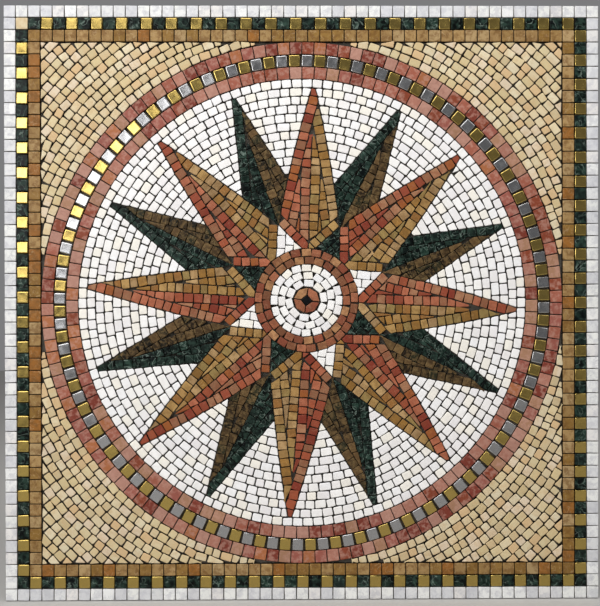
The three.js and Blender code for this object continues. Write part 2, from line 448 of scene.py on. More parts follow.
def thicken(corner, corner_steps, arris, dome):
    """Blunts tips, rounds corners, gives the chips their thickness and wears their top edges."""
    choose("VERT", lambda point: is_sharper(point, TIP_ANGLE))
    bpy.ops.mesh.bevel(offset_type="PERCENT", offset_pct=TIP_CUT, segments=1, affect="VERTICES")
    choose("VERT", lambda point: min(side.calc_length() for side in point.link_edges) > 2 * corner * MM)
    bpy.ops.mesh.bevel(offset=corner * MM, segments=corner_steps, affect="VERTICES", clamp_overlap=False)
    bpy.ops.mesh.select_all(action="SELECT")
    bpy.ops.mesh.extrude_region_move(
        TRANSFORM_OT_translate={"value": (0, 0, (BED_TOP - CHIP_TOP) * MM)})
    bpy.ops.transform.resize(value=(1, 1, 0), center_override=(0, 0, BED_TOP * MM))
    bpy.ops.mesh.select_all(action="SELECT")
    bpy.ops.mesh.normals_make_consistent(inside=False)
    choose("FACE", lambda face: face.calc_center_median().z > MIDDLE_HEIGHT * MM and face.normal.z > UPWARDS)
    bpy.ops.transform.translate(value=(0, 0, -arris * MM))
    bpy.ops.mesh.inset(thickness=arris * MM, depth=arris * MM, use_individual=True)
    bpy.ops.mesh.inset(thickness=WORN * arris * MM, depth=0, use_individual=True)
    bpy.ops.mesh.poke(offset=dome * MM)


def stand_upright(field):
    """Leaves edit mode, turns the flat work to face the viewer and reports on it."""
    bpy.ops.object.mode_set(mode="OBJECT")
    field.rotation_euler.x = math.pi / 2
    bpy.ops.object.transform_apply(rotation=True)
    bpy.ops.object.shade_smooth_by_angle(angle=math.radians(SMOOTH_BELOW))
    field.data.calc_loop_triangles()
    print(field.name, len(field.data.loop_triangles), "triangles")


# %% All the steps together
def finish_field(field, seed, joint, wobble, corner, turn=1.5, tilt=0.12, corner_steps=2, arris=0.4,
                 dome=0.12, least=2.1):
    """All the steps from a laid sheet to standing chips, with lengths in millimetres.

    joint is how far chips stand apart. wobble moves their corners, tilt tips them and turn twists them.
    corner is how far a corner is rounded, arris how far the top edge is worn, and dome how far the face
    swells. Chips thinner than least are left out.
    """
    draw = random.Random(seed)
    part_the_sheet(joint, least)
    bpy.ops.mesh.select_all(action="SELECT")
    bpy.ops.mesh.dissolve_degenerate(threshold=(2 * corner + 2 * wobble) * MM)
    bpy.ops.mesh.select_all(action="SELECT")
    bpy.ops.mesh.delete_loose()
    put_in_order()
    give_each_face_numbers(draw)
    turn_each_chip(turn, draw)
    set_by_hand(wobble, tilt, seed)
    thicken(corner, corner_steps, arris, dome)
    stand_upright(field)


# %% [markdown]
# ## Handing a piece over
#
# Every piece rides on the frame's one body and hides the plate that it stands for. Its finish is its slot's
# unless another is named. The pieces of one finish are gathered in a list, so that one material can be given
# to all of them at the end.

# %% Gather pieces by finish
pieces_by_finish = {}


def hand_over(piece, slot, *nodes, finish=None):
    """Tells the frame about a piece and notes its finish, which is its slot's unless it is named."""
    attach(piece, "root")
    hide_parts(*nodes)
    pieces_by_finish.setdefault(finish or slot, []).append(piece)


def make_field(name, slot, node, seed, chips, lay, finish=None):
    """A whole field. lay is a function that lays its rows, and chips says how they are finished."""
    field = open_field(name)
    lay(random.Random(seed))
    finish_field(field, seed, **chips)
    hand_over(field, slot, node, finish=finish)


# %% [markdown]
# ## The square borders
#
# Three bands of square chips frame the panel. These chips were sawn and polished by machine, so they are
# true squares with fine, even joints. Each side of a band is a straight row; a corner chip belongs to the
# row that starts there. In the middle band green marble and brass take turns, after one cream chip in the
# corner. So the places of all its chips are worked out first, and its stone is laid at every second one.

# %% White and tan borders
CHIP_PITCH = 16
SAWN_SPREAD = 0.01
SAWN = dict(joint=1.2, wobble=0.16, turn=0.4, corner=0.5, corner_steps=1, dome=0.05)


def border_sides(half):
    """Each side's start, direction and inward vector, clockwise from the top left corner."""
    for turn in range(4):
        along = heading(90 + 90 * turn)
        inward = right_of(along) * BORDER_BAND
        yield -along * half - inward / BORDER_BAND * half, along, inward


def lay_border(half, draw):
    """A square band: four rows, each one corner chip short of the full side."""
    length = 2 * half - BORDER_BAND
    for start, along, inward in border_sides(half):
        lay_straight(start, along, inward, length, round(length / CHIP_PITCH), SAWN_SPREAD, draw)
        put_aside()


make_field("white_border_chips", "white_marble", "white_marble_border", 1, SAWN,
           lambda draw: lay_border(BORDER_OUT, draw), finish="sawn_white")
make_field("tan_border_chips", "tan_marble", "tan_marble_border", 2, SAWN,
           lambda draw: lay_border(BORDER_OUT - 2 * BORDER_BAND, draw))

# %% The chequered band's stone
# The top and right sides hold one chip fewer than the others, so the count of both kinds comes out even.
SIDE_COUNTS = [45, 46, 46, 45]
CHEQUER_HALF = BORDER_OUT - BORDER_BAND


def chequer_places():
    """Each chip of the chequered band: its middle, its length along the band and its direction."""
    length = 2 * CHEQUER_HALF - BORDER_BAND
    for (start, along, inward), count in zip(border_sides(CHEQUER_HALF), SIDE_COUNTS):
        for i in range(count):
            yield start + along * length * (i + 0.5) / count + inward / 2, length / count, along


chequer = list(chequer_places())
print(len(chequer), "chips in the chequered band")


def lay_blocks(places, depth, draw):
    """One straight block at each place, as a row of a single chip."""
    for middle, pitch, along in places:
        across = right_of(along) * depth
        lay_straight(middle - along * pitch / 2 - across / 2, along, across, pitch, 1, 0, draw)
        put_aside()


make_field("green_border_chips", "green_marble", "green_and_brass_border", 3, SAWN,
           lambda draw: lay_blocks(chequer[1::2], BORDER_BAND, draw))
make_field("cream_key_chip", "cream_marble", "green_and_brass_border", 4, SAWN,
           lambda draw: lay_blocks(chequer[:1], BORDER_BAND, draw))

# %% [markdown]
# ## The rings
#
# Two rings of sawn rose marble hold a ring of metal chips between them, and the white field starts with one
# whole ring of its own. A circle primitive with as many corners as there are chips, extruded and drawn in,
# is a ring of outlines at once.

# %% Rose rings
OUTER_COUNT, INNER_COUNT = 132, 117
ROSE_SAWN = {**SAWN, "wobble": 0.25, "tilt": 0.15, "turn": 0.5, "dome": 0.06}

make_field("outer_rose_chips", "rose_marble", "outer_rose_ring", 11, ROSE_SAWN,
           lambda draw: lay_ring(CENTRE, OUTER_ROSE, METAL, OUTER_COUNT))
make_field("inner_rose_chips", "rose_marble", "inner_rose_ring", 12, ROSE_SAWN,
           lambda draw: lay_ring(CENTRE, INNER_ROSE, WHITE, INNER_COUNT))

# %% [markdown]
# ## The cream corners
#
# The four corners are filled with courses that follow the ring outwards, like ripples, until the border cuts
# them off. Every course is laid a little too long, and cut along the border's two inner edges. Pieces that
# come out thinner than a maker would set are dropped.

# %% Lay and cut the corner courses
CORNER_COURSE = 11.2
CORNER_START = 9.5
CREAM_PITCH = 13.4
CREAM_SPREAD = 0.24
LEAST_DEPTH = 3
CREAM_CHIPS = dict(joint=1.5, wobble=0.8, turn=4, corner=1.4)


def lay_corner(turn, draw):
    """The courses of one corner. turn counts quarter turns clockwise from the top right."""
    quarter = 90 * turn
    top, side = heading(quarter), heading(quarter + 90)
    inner = OUTER_ROSE
    while inner + LEAST_DEPTH < FIELD_HALF * math.sqrt(2):
        start = max(CORNER_START, math.degrees(math.acos(min(1, FIELD_HALF / (inner + LEAST_DEPTH)))))
        outer = inner + CORNER_COURSE
        count = max(1, round(math.radians(90 - 2 * start) * (inner + outer) / 2 / CREAM_PITCH))
        lay_curved(outer, inner, quarter + start, quarter + 90 - start, count, CREAM_SPREAD, draw)
        cut_along(top * FIELD_HALF, top * FIELD_HALF + side, CENTRE)
        cut_along(side * FIELD_HALF, side * FIELD_HALF + top, CENTRE)
        put_aside()
        inner = outer


for turn, place in enumerate(("top_right", "bottom_right", "bottom_left", "top_left")):
    make_field(f"cream_{place}_chips", "cream_marble", f"cream_corner_{place}", 20 + turn, CREAM_CHIPS,
               lambda draw: lay_corner(turn, draw))

# %% [markdown]
# ## The white field
#
# Inside the rings the white courses run round the same centre and stop at the rays. Each gap between two
# rays is a wedge, narrower with every course, and a single pointed chip closes it. The number of chips
# follows from the length of the course, so the joints of neighbouring courses fall past each other.

# %% Lay the wedges between the rays
WHITE_PITCH = 13.3
WHITE_SPREAD = 0.18
OVERLAP = 0.7
FIRST_COURSE_COUNT = 134
WHITE_CHIPS = dict(joint=1.5, wobble=0.55, turn=2.5, corner=1.4)


def lay_wedge_course(left, right, outer, inner, draw):
    """One course between two rays' edges. left and right are runs of points that come inwards."""
    left_out, left_in = where_crossed(left, outer), where_crossed(left, inner)
    right_out, right_in = where_crossed(right, outer), where_crossed(right, inner)
    first, last = bearing(left_out), bearing(right_out)
    last += 360 * (last < first - 180)
    inner_first = first + (bearing(left_in) - first + 180) % 360 - 180
    inner_last = last + (bearing(right_in) - last + 180) % 360 - 180
    middle_first, middle_last = (first + inner_first) / 2, (last + inner_last) / 2
    length = math.radians(middle_last - middle_first) * (outer + inner) / 2
    count = max(1, round(length / WHITE_PITCH))
    lay_curved(outer, inner, min(first, inner_first) - OVERLAP, max(last, inner_last) + OVERLAP, count,
               WHITE_SPREAD, draw)
    keep = heading((first + last) / 2) * outer
    cut_along(left_out, left_in, keep)
    cut_along(right_out, right_in, keep)
    put_aside()


def lay_wedge(left, right, draw):
    """All the courses between two rays, from their tips to where their edges meet."""
    end = crossing(left, right).length
    outer = TIP_RADIUS
    while outer - end > LEAST_DEPTH:
        lay_wedge_course(left, right, outer, max(outer - COURSE, end + HAIR), draw)
        outer -= COURSE


def lay_white_field(draw):
    """One whole ring outside the tips, and the wedges between the rays."""
    lay_ring(CENTRE, WHITE, TIP_RADIUS, FIRST_COURSE_COUNT)
    put_aside()
    for k in range(RAYS):
        lay_wedge(light_edge(k, RIGHT), dark_edge(k, LEFT), draw)
        lay_wedge(dark_edge(k, RIGHT), light_edge((k + 1) % RAYS, LEFT), draw)


make_field("white_field_chips", "white_marble", "white_field", 31, WHITE_CHIPS, lay_white_field)

# %% [markdown]
# ## The rays
#
# Each ray is two stones, one on either side of a ridge. A maker fills such a long triangle with columns: one
# along each edge, then one on either side of the ridge, then more between them as the ray widens. A new
# column starts where the gap between two older ones is wide enough for a chip. So each column is laid whole
# from the tip, and cut along the columns that were there before it. The left stone has the tip to itself.

# %% Columns between an edge and a ridge
# A line here runs from the tip inwards. A cut is two points of its line and a point on the side that stays.
COLUMN = 11.9
RAY_CHIP = 11.5
RAY_SPREAD = 0.17
RAY_CHIPS = dict(joint=1.35, wobble=0.55, turn=3.5, corner=0.9, arris=0.35, least=3)


def beside(line, side, distance):
    """A line moved to one side."""
    shift = right_of((line[0] - line[1]).normalized()) * side * distance
    return line[0] + shift, line[1] + shift


def lay_column(line, side, draw):
    """One column of chips on one side of a line."""
    length = (line[1] - line[0]).length
    inwards = (line[1] - line[0]) / length
    across = right_of(-inwards) * side * COLUMN
    lay_straight(line[0], inwards, across, length, round(length / RAY_CHIP), RAY_SPREAD, draw)


def lay_half_ray(edges, ridge, side, ends, draw):
    """One stone of a ray, on one side of its ridge.

    Columns come in pairs, one on the edge's side and one on the ridge's, and each is cut along the one that
    was there before it. edges holds both edges by side, and ends the cuts that end every column.
    """
    tip, foot = ridge
    edge = edges[side]
    left_column = beside(edges[LEFT], RIGHT, COLUMN)
    tip_cut = (tip, tip + right_of(tip - foot), foot)
    for pair in range(2):
        edge_line = beside(edge, -side, pair * COLUMN)
        ridge_line = beside(ridge, side, pair * COLUMN)
        before_edge_column = (*ridge_line, edge[1])
        if pair == 0:
            before_edge_column = (*edges[RIGHT], foot) if side == LEFT else (*left_column, edge[1])
        before_ridge_column = (*beside(edge, -side, (pair + 1) * COLUMN), foot)
        columns = [(edge_line, -side, [before_edge_column]), (ridge_line, side, [before_ridge_column])]
        if side == RIGHT:
            columns[1][2].append((*left_column, edge[1]))
        for line, line_side, cuts in columns:
            lay_column(line, line_side, draw)
            for cut in [tip_cut, *cuts, *ends]:
                cut_along(*cut)
            put_aside()


# %% Moves that fit flat work to the star
# A light ray's foot is two lines that run from its notches to an apex, which the hub hides.
APEX_RADIUS = 60
apexes = [HUB + axis * APEX_RADIUS for axis in light_axes]


def move_points(move):
    """Moves every point of the flat work. move takes and gives a place in millimetres."""
    mesh = bpy.context.edit_object.data
    shape = bmesh.from_edit_mesh(mesh)
    for point in shape.verts:
        point.co = on_face(move(point.co.xy / MM))
    bmesh.update_edit_mesh(mesh)


def clear_the_hub(place):
    """Pushes a place that is just inside the hub's rim out to it."""
    outward = place - HUB
    return HUB + outward.normalized() * max(outward.length, HUB_OUT)


def swell(k, side):
    """The move that bows a light ray's straight edge outwards, less and less towards the ridge."""
    axis = light_axes[k]
    corner = notches[k] if side == RIGHT else notches[k - 1]
    length = (light_tips[k] - corner).dot(axis)
    spread = abs((corner - light_tips[k]).dot(right_of(axis))) - TIP_WIDTH / 2

    def move(place):
        down = (light_tips[k] - place).dot(axis) / length
        if not 0 < down < 1:
            return place
        share = (place - light_tips[k]).dot(right_of(axis)) / (TIP_WIDTH / 2 + spread * down)
        return place + right_of(axis) * share * FLANK_BOW * 4 * down * (1 - down)

    return move


# %% Light rays
FOOT_RUN = 1.5


def lay_light_half(k, side, draw):
    """One stone of a light ray, with the course that edges its foot."""
    corners = {LEFT: notches[k - 1], RIGHT: notches[k]}
    straight = {s: (light_edge(k, s)[0], corners[s]) for s in corners}
    feet = {s: (corners[s], hub_meeting(corners[s], apexes[k])) for s in corners}
    ridge = (light_tips[k], HUB + light_axes[k] * HUB_OUT)
    rim_cut = (feet[LEFT][1], feet[RIGHT][1], light_tips[k])
    ends = [rim_cut] + [(*beside(feet[s], -s, COLUMN), light_tips[k]) for s in feet]
    lay_half_ray(straight, ridge, side, ends, draw)
    corner, meeting = feet[side]
    lay_column((corner, blend_points(corner, meeting, FOOT_RUN)), -side, draw)
    for cut in [(*straight[side], ridge[1]), (*ridge, corners[side]), rim_cut]:
        cut_along(*cut)
    put_aside()
    bpy.ops.mesh.reveal()
    move_points(swell(k, side))
    move_points(clear_the_hub)


for k in range(RAYS):
    for side, stone in ((LEFT, "terracotta"), (RIGHT, "gold")):
        name = f"light_ray_{k + 1}_{stone}"
        make_field(name + "_chips", f"{stone}_marble", name, 100 + 2 * k + (side == RIGHT), RAY_CHIPS,
                   lambda draw: lay_light_half(k, side, draw))

# %% Dark rays
# The dark stones are set closer than the light ones.
DARK_RAY_CHIPS = {**RAY_CHIPS, "joint": 0.8}


def lay_dark_half(k, side, draw):
    """One stone of a dark ray, cut off by the light rays in front of it."""
    edges = {s: (dark_edge(k, s)[0], dark_edge(k, s)[-1]) for s in (LEFT, RIGHT)}
    left_ray, right_ray = light_edge(k, RIGHT), light_edge((k + 1) % RAYS, LEFT)
    ends = [(crossing(dark_edge(k, s), ray), notches[k], dark_tips[k])
            for s, ray in ((LEFT, left_ray), (RIGHT, right_ray))]
    lay_half_ray(edges, (dark_tips[k], notches[k]), side, ends, draw)


for k in range(RAYS):
    for side, stone in ((LEFT, "green"), (RIGHT, "brown")):
        name = f"dark_ray_{k + 1}_{stone}"
        make_field(name + "_chips", f"{stone}_marble", name, 130 + 2 * k + (side == RIGHT), DARK_RAY_CHIPS,
                   lambda draw: lay_dark_half(k, side, draw))

# %% [markdown]
# ## The hub
#
# Between the feet of the light rays small triangles of white and green lie against the hub. The hub itself
# is two courses of rose, three of white, and a rose centre of four cheeks round a black diamond. Triangles
# are laid as short columns, and the hub's courses as single blocks set round a circle.

# %% Hub triangles
# A column starts RUN_UP before its triangle and is RUN_ON longer, so that the cuts always trim both its ends.
RUN_UP, RUN_ON = 3, 8
LAP = 0.1
TRIANGLE_SPREAD = 0.12
TRIANGLE_CHIPS = dict(joint=1.2, wobble=0.45, turn=2.5, corner=1, arris=0.35, least=1.9)


def lay_triangle(k, draw):
    """Columns side by side from the triangle's left side to its far corner."""
    left, right = (hub_meeting(notches[k], apexes[ray]) for ray in (k, (k + 1) % RAYS))
    down = (left - notches[k]).normalized()
    depth = (right - notches[k]).dot(right_of(-down))
    columns = round(depth / COLUMN)
    for i in range(columns):
        top = blend_points(notches[k], right, i / columns)
        foot = blend_points(left, right, i / columns)
        mean_length = (foot - top).length * (1 - 0.5 / (columns - i))
        count = max(1, round(mean_length / RAY_CHIP))
        across = right_of(-down) * (depth / columns + LAP)
        length = (foot - top).length + RUN_ON
        lay_straight(top - down * RUN_UP, down, across, length, count, TRIANGLE_SPREAD, draw)
        cut_along(notches[k], left, right)
        cut_along(notches[k], right, left)
        cut_along(left, right, notches[k])
        put_aside()
    bpy.ops.mesh.reveal()
    move_points(clear_the_hub)


for k in range(RAYS):
    stone = "white" if k % 2 else "green"
    name = f"hub_triangle_{k + 1}_{stone}"
    make_field(name + "_chips", f"{stone}_marble", name, 160 + k, TRIANGLE_CHIPS,
               lambda draw: lay_triangle(k, draw))

# %% Hub courses
# These chips are straight blocks set round a circle, so the joints between them open outwards.
HUB_CHIPS = dict(joint=1.1, wobble=0.45, turn=3, corner=1)
ROSE_COUNTS, WHITE_COUNTS = [29, 25], [20, 15, 10]
HUB_OPENING = 0.35
COURSE_SHIFT = 4
HUB_DRIFT = 0.5


def lay_courses(outer, inner, counts, draw):
    """Rings of blocks round the hub's centre, from outside in."""
    depth = (outer - inner) / len(counts)
    for i, count in enumerate(counts):
        near = outer - (i + 1) * depth
        width = 2 * math.pi * (near + depth * HUB_OPENING) / count
        angles = [COURSE_SHIFT * i + j * 360 / count + draw.gauss(0, HUB_DRIFT) for j in range(count)]
        middles = [HUB + heading(angle) * (near + depth / 2) for angle in angles]
        places = [(middle, width, heading(angle + 90)) for middle, angle in zip(middles, angles)]
        lay_blocks(places, depth, draw)


make_field("hub_rose_chips", "rose_marble", "hub_rose_ring", 171, HUB_CHIPS,
           lambda draw: lay_courses(HUB_OUT, HUB_WHITE, ROSE_COUNTS, draw), finish="hub_rose")
make_field("hub_white_chips", "white_marble", "hub_white_disc", 172, HUB_CHIPS,
           lambda draw: lay_courses(HUB_WHITE, HUB_CORE, WHITE_COUNTS, draw))

# %% The rose centre and its black diamond
# The cheeks are a ring of four outlines. Each outer edge is cut in two and its new point drawn out to the
# rim, so that the four make a rounded centre together.
DIAMOND_TURN = 8
diamond_reach = own_radius("hub_black_diamond")


def lay_cheeks(draw):
    """Four cheeks round the diamond."""
    lay_ring(HUB, HUB_CORE, diamond_reach, 4, first=DIAMOND_TURN)
    between = (HUB_CORE + diamond_reach) / 2
    choose("EDGE", lambda edge: all((point.co.xy / MM - HUB).length > between for point in edge.verts))
    bpy.ops.mesh.subdivide(number_cuts=1)
    choose("VERT", lambda point: len(point.link_edges) == 2)
    bpy.ops.transform.resize(value=(math.sqrt(2), math.sqrt(2), 1), center_override=on_face(HUB))


def lay_diamond(draw):
    """A single square outline, set on its corner."""
    bpy.ops.mesh.primitive_circle_add(
        vertices=4, radius=diamond_reach * MM, fill_type="NGON", location=on_face(HUB),
        rotation=(0, 0, math.radians(-DIAMOND_TURN)))


make_field("hub_centre_chips", "rose_marble", "hub_rose_centre", 173, dict(joint=1.3, wobble=0.4, corner=1),
           lay_cheeks, finish="hub_rose")
make_field("hub_diamond_chip", "black_marble", "hub_black_diamond", 174,
           dict(joint=0.2, wobble=0.3, corner=0.8), lay_diamond)

# %% [markdown]
# ## Metal chips
#
# A metal chip is a brass or stainless steel cap over a resin core, pressed so that its edges are rounded and
# its face is very slightly dished. All of them come from one die, so one chip is modelled: a cube, drawn to
# size, its upright edges and its rim bevelled, and its face inset and pressed in. The others are copies,
# each tipped a little when it was glued, which is why some flash and their neighbours do not.

# %% Press one metal chip
METAL_CORNER = 1.3
METAL_RIM = 1.0
METAL_FLAT = 0.6
METAL_DISH = 0.32
METAL_TIP = 1.4
METAL_PROUD = 0.1
LEVEL = 0.99


def press_chip(width, depth):
    """One metal chip at the origin, its face level with the ground, its width along X."""
    height = CHIP_TOP - BED_TOP
    chip = open_field("pressed_chip")
    bpy.ops.mesh.primitive_cube_add(size=height * MM, location=(0, 0, -height / 2 * MM))
    bpy.ops.transform.resize(value=(width / height, depth / height, 1), center_override=(0, 0, 0))
    choose("EDGE", lambda edge: abs(edge.verts[0].co.z - edge.verts[1].co.z) > height / 2 * MM)
    bpy.ops.mesh.bevel(offset=METAL_CORNER * MM, segments=2, affect="EDGES")
    choose("EDGE", lambda edge: all(point.co.z > -height / 2 * MM for point in edge.verts))
    bpy.ops.mesh.bevel(offset=METAL_RIM * MM, segments=2, affect="EDGES")
    choose("FACE", lambda face: face.normal.z > LEVEL)
    bpy.ops.mesh.inset(thickness=METAL_FLAT * MM, depth=0)
    bpy.ops.mesh.poke(offset=-METAL_DISH * MM)
    bpy.ops.object.mode_set(mode="OBJECT")
    chip.data.attributes.new("chip", "FLOAT_COLOR", "FACE")
    return chip


def glue_copy(model, middle, clockwise, draw):
    """A copy of the chip in its place, turned to its row, tipped a little, with numbers of its own."""
    bpy.ops.object.select_all(action="DESELECT")
    bpy.context.view_layer.objects.active = model
    model.select_set(True)
    bpy.ops.object.duplicate()
    copy = bpy.context.object
    tips = [math.radians(draw.uniform(-METAL_TIP, METAL_TIP)) for _ in range(2)]
    copy.location = on_face(middle, CHIP_TOP + METAL_PROUD)
    copy.rotation_euler = (*tips, math.radians(draw.uniform(-METAL_TIP, METAL_TIP) - clockwise))
    numbers = [draw.random(), draw.random(), draw.random(), 1]
    copy.data.attributes["chip"].data.foreach_set("color", numbers * len(copy.data.polygons))
    return copy


def set_metal(name, places, width, depth, draw):
    """A field of metal chips: one is pressed, the rest are its copies, and all are joined."""
    model = press_chip(width, depth)
    copies = [glue_copy(model, middle, clockwise, draw) for middle, clockwise in places]
    bpy.data.objects.remove(model)
    for copy in copies:
        copy.select_set(True)
    bpy.context.view_layer.objects.active = copies[0]
    bpy.ops.object.join()
    bpy.ops.object.transform_apply(location=True, rotation=True)
    field = bpy.context.object
    field.name = name
    stand_upright(field)
    return field


# %% Brass and steel
METAL_COUNT = 120
METAL_START = 1.2
METAL_JOINT = 1.1
METAL_WIDTH = 14.2
METAL_DEPTH = METAL - INNER_ROSE - METAL_JOINT
METAL_SQUARE = 15

angles = [METAL_START + i * 360 / METAL_COUNT for i in range(METAL_COUNT)]
ring_places = [(heading(angle) * (METAL + INNER_ROSE) / 2, angle) for angle in angles]
border_places = [(middle, 0) for middle, _, _ in chequer[2::2]]
steel_ring = set_metal("steel_ring_chips", ring_places[::2], METAL_WIDTH, METAL_DEPTH, random.Random(181))
hand_over(steel_ring, "stainless_steel", "brass_and_steel_ring")
brass_ring = set_metal("brass_ring_chips", ring_places[1::2], METAL_WIDTH, METAL_DEPTH, random.Random(182))
hand_over(brass_ring, "brass", "brass_and_steel_ring")
brass_border = set_metal("brass_border_chips", border_places, METAL_SQUARE, METAL_SQUARE, random.Random(183))
hand_over(brass_border, "brass", "green_and_brass_border")

# %% [markdown]
# ## The bed and its net
#
# The chips are glued face up on a glass-fibre net, and the glue rises a little between them. From behind,
# the panel shows the net's square threads half sunk in grey adhesive. The bed is a grid whose points are
# moved at random and which is then given a thickness. One thread is made as a thin strip, an Array modifier
# repeats it, and the result is copied and turned for the threads that run the other way.

# %% Adhesive bed
# The glue is lumpy between the chips. Its back was pressed on a board, and keeps a BACK_SHARE of the lumps.
bed_half = own_radius("adhesive_bed") - JOINT / 2
BED_CELLS = 110
BED_LUMPS = 0.7
BACK_SHARE, BACK_LEVEL = 0.18, 0.08

bed = open_field("adhesive_layer")
bpy.ops.mesh.primitive_grid_add(x_subdivisions=BED_CELLS, y_subdivisions=BED_CELLS, size=2 * bed_half * MM,
                                location=on_face(CENTRE, BED_TOP))
bpy.ops.transform.vertex_random(offset=BED_LUMPS * MM, seed=5)
bpy.ops.mesh.extrude_region_move(TRANSFORM_OT_translate={"value": (0, 0, -BED_TOP * MM)})
bpy.ops.transform.resize(value=(1, 1, BACK_SHARE), center_override=(0, 0, BACK_LEVEL * MM))
bpy.ops.mesh.select_all(action="SELECT")
bpy.ops.mesh.normals_make_consistent(inside=False)
stand_upright(bed)
hand_over(bed, "adhesive_bed", "adhesive_bed")

# %% Glass-fibre net
NET_MESH = 5
THREAD_WIDTH, THREAD_DEPTH = 0.9, 0.3
THREAD_STEPS = 30
THREAD_SPREAD = 0.1
THREAD_PROUD = 0.12
THREAD_WOBBLE = 0.12

net = open_field("glass_fibre_net")
thread_count = round(2 * bed_half / NET_MESH)
lay_straight(Vector((-bed_half, -bed_half)), Vector((1, 0)), Vector((0, THREAD_WIDTH)), 2 * bed_half,
             THREAD_STEPS, THREAD_SPREAD, random.Random(6))
bpy.ops.mesh.select_all(action="SELECT")
bpy.ops.mesh.extrude_region_move(TRANSFORM_OT_translate={"value": (0, 0, -THREAD_DEPTH * MM)})
bpy.ops.mesh.select_all(action="SELECT")
bpy.ops.mesh.normals_make_consistent(inside=False)
bpy.ops.transform.translate(value=(0, 0, (THREAD_DEPTH - THREAD_PROUD - CHIP_TOP) * MM))
bpy.ops.object.mode_set(mode="OBJECT")
rows = net.modifiers.new("rows", "ARRAY")
rows.use_relative_offset = False
rows.use_constant_offset = True
rows.constant_offset_displace = (0, (2 * bed_half - THREAD_WIDTH) / (thread_count - 1) * MM, 0)
rows.count = thread_count
bpy.ops.object.modifier_apply(modifier="rows")
bpy.ops.object.duplicate()
bpy.context.object.rotation_euler.z = math.pi / 2
bpy.ops.object.transform_apply(rotation=True)
net.select_set(True)
bpy.context.view_layer.objects.active = net
bpy.ops.object.join()
bpy.ops.object.mode_set(mode="EDIT")
put_in_order()
bpy.ops.transform.vertex_random(offset=THREAD_WOBBLE * MM, seed=7)
stand_upright(net)
hand_over(net, "adhesive_bed", "adhesive_bed", finish="net")

# %% [markdown]
# ## Finishes
#
# Every stone material is built the same way, because every stone was handled the same way: cut from a block,
# so that a chip's colour and veins belong to it alone. Below the worn edge every chip's walls are painted
# dark, a painted shade that makes the open joints read dark.
# The chip numbers choose a colour from the stone's own palette, shift the pattern so that no vein runs on
# into the next chip, and lighten or darken the whole chip. Colours are written as sRGB hex values, and one
# function turns them to the linear numbers that the shader works with.

# %% Colours and nodes
def linear(hex_colour):
    """An sRGB hex colour as a linear RGBA tuple."""
    levels = [int(hex_colour[i:i + 2], 16) / 255 for i in (1, 3, 5)]
    return (*[v / 12.92 if v <= 0.04045 else ((v + 0.055) / 1.055) ** 2.4 for v in levels], 1)


def add_node(material, kind, settings=None, links=None):
    """Adds a node, sets its properties and sockets, and links its inputs to what feeds them.

    A link gives another node's output, or just the node, which then gives its first output.
    """
    node = material.node_tree.nodes.new("ShaderNode" + kind)
    for name, value in (settings or {}).items():
        if isinstance(name, str) and hasattr(node, name):
            setattr(node, name, value)
        else:
            node.inputs[name].default_value = value
    for name, source in (links or {}).items():
        output = source.outputs[0] if isinstance(source, bpy.types.Node) else source
        material.node_tree.links.new(output, node.inputs[name])
    return node


def new_material(name):
    """An empty node material."""
    material = bpy.data.materials.new(name)
    material.use_nodes = True
    material.node_tree.nodes.clear()
    return material


def set_stops(ramp, stops, interpolation="LINEAR"):
    """Gives a colour ramp its stops: pairs of a place and a hex colour."""
    ramp.color_ramp.interpolation = interpolation
    elements = ramp.color_ramp.elements
    while len(elements) > 1:
        elements.remove(elements[-1])
    for i, (place, colour) in enumerate(stops):
        element = elements[0] if i == 0 else elements.new(place)
        element.position = place
        element.color = linear(colour)


# %% The stone that all chips share
# Marble's own crystals are too fine to show here, so they are drawn STONE_GRAIN apart. STONE_GLOSS is low,
# because a cut face scatters most of what a mirror polish would give back.
# Chip walls further than ARRIS_DEPTH below the face are painted a dark colour. It is painted shade, and it
# makes the open joints read dark.
ARRIS_DEPTH = 0.9
BLOCK_SPAN = 3
JOINT_SHADE_COLOUR = "#2e2822"
STONE_GLOSS = 0.12
STONE_GRAIN = 0.8
CLOUD_FROM, CLOUD_TO = 0.45, 0.6
VEIN_FROM, VEIN_TO = 0.485, 0.5


